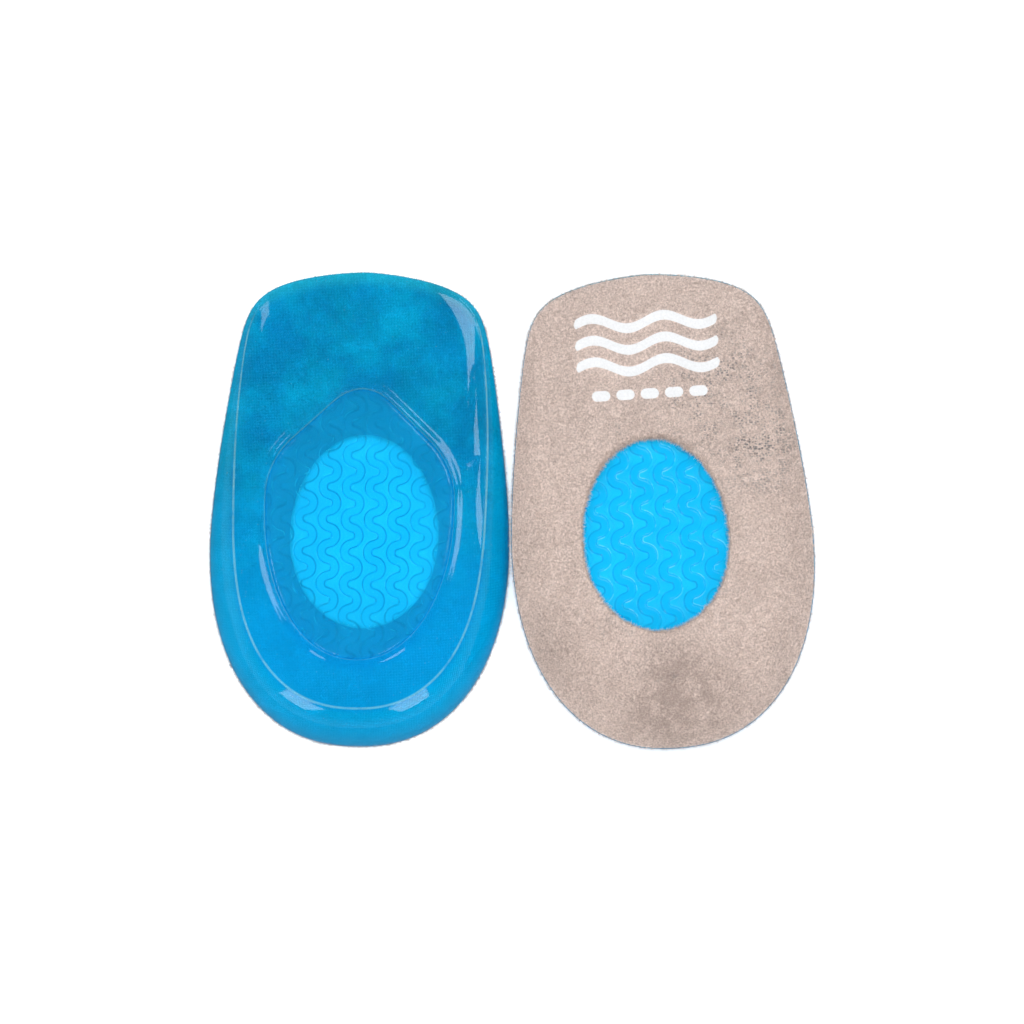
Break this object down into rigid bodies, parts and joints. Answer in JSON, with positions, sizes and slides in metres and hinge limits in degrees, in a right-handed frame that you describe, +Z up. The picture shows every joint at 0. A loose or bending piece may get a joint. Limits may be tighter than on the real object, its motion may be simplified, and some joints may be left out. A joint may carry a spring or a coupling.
{
  "type": "cushioned insole",
  "caption": "Cupped gel heel insole: soft wave-ribbed heel pad let into a gel cup, under a suede-like cover with an egg-shaped window; lies cover up beside its turned-over mate.",
  "frame": {"origin": "middle of the pair's box on the surface it lies on", "axes": "+X across the pair, from the turned-over insole to the one lying cover up; +Y from the heels to the toe edges; +Z up"},
  "size_m": [0.1386, 0.1092, 0.015],
  "materials": {
    "gel_blue": "glossy translucent gel",
    "pad_blue": "glossy soft translucent gel, softer than the cup",
    "adhesive_clear": "clear film",
    "microsuede_taupe": "short napped microsuede",
    "print_white": "thin matt print"
  },
  "bodies": {
    "right_insole": {"right_gel_cup": "gel_blue", "right_heel_pad": "pad_blue", "right_adhesive_film": "adhesive_clear", "right_top_cover": "microsuede_taupe", "right_printed_mark": "print_white"},
    "left_insole": {"left_gel_cup": "gel_blue", "left_heel_pad": "pad_blue", "left_adhesive_film": "adhesive_clear", "left_top_cover": "microsuede_taupe", "left_printed_mark": "print_white"}
  },
  "joints": [
    {"name": "left_lift", "type": "slide", "parent": "right_insole", "child": "left_insole", "axis": [0, 0, 1], "range_m": [0, 0.05]}
  ]
}
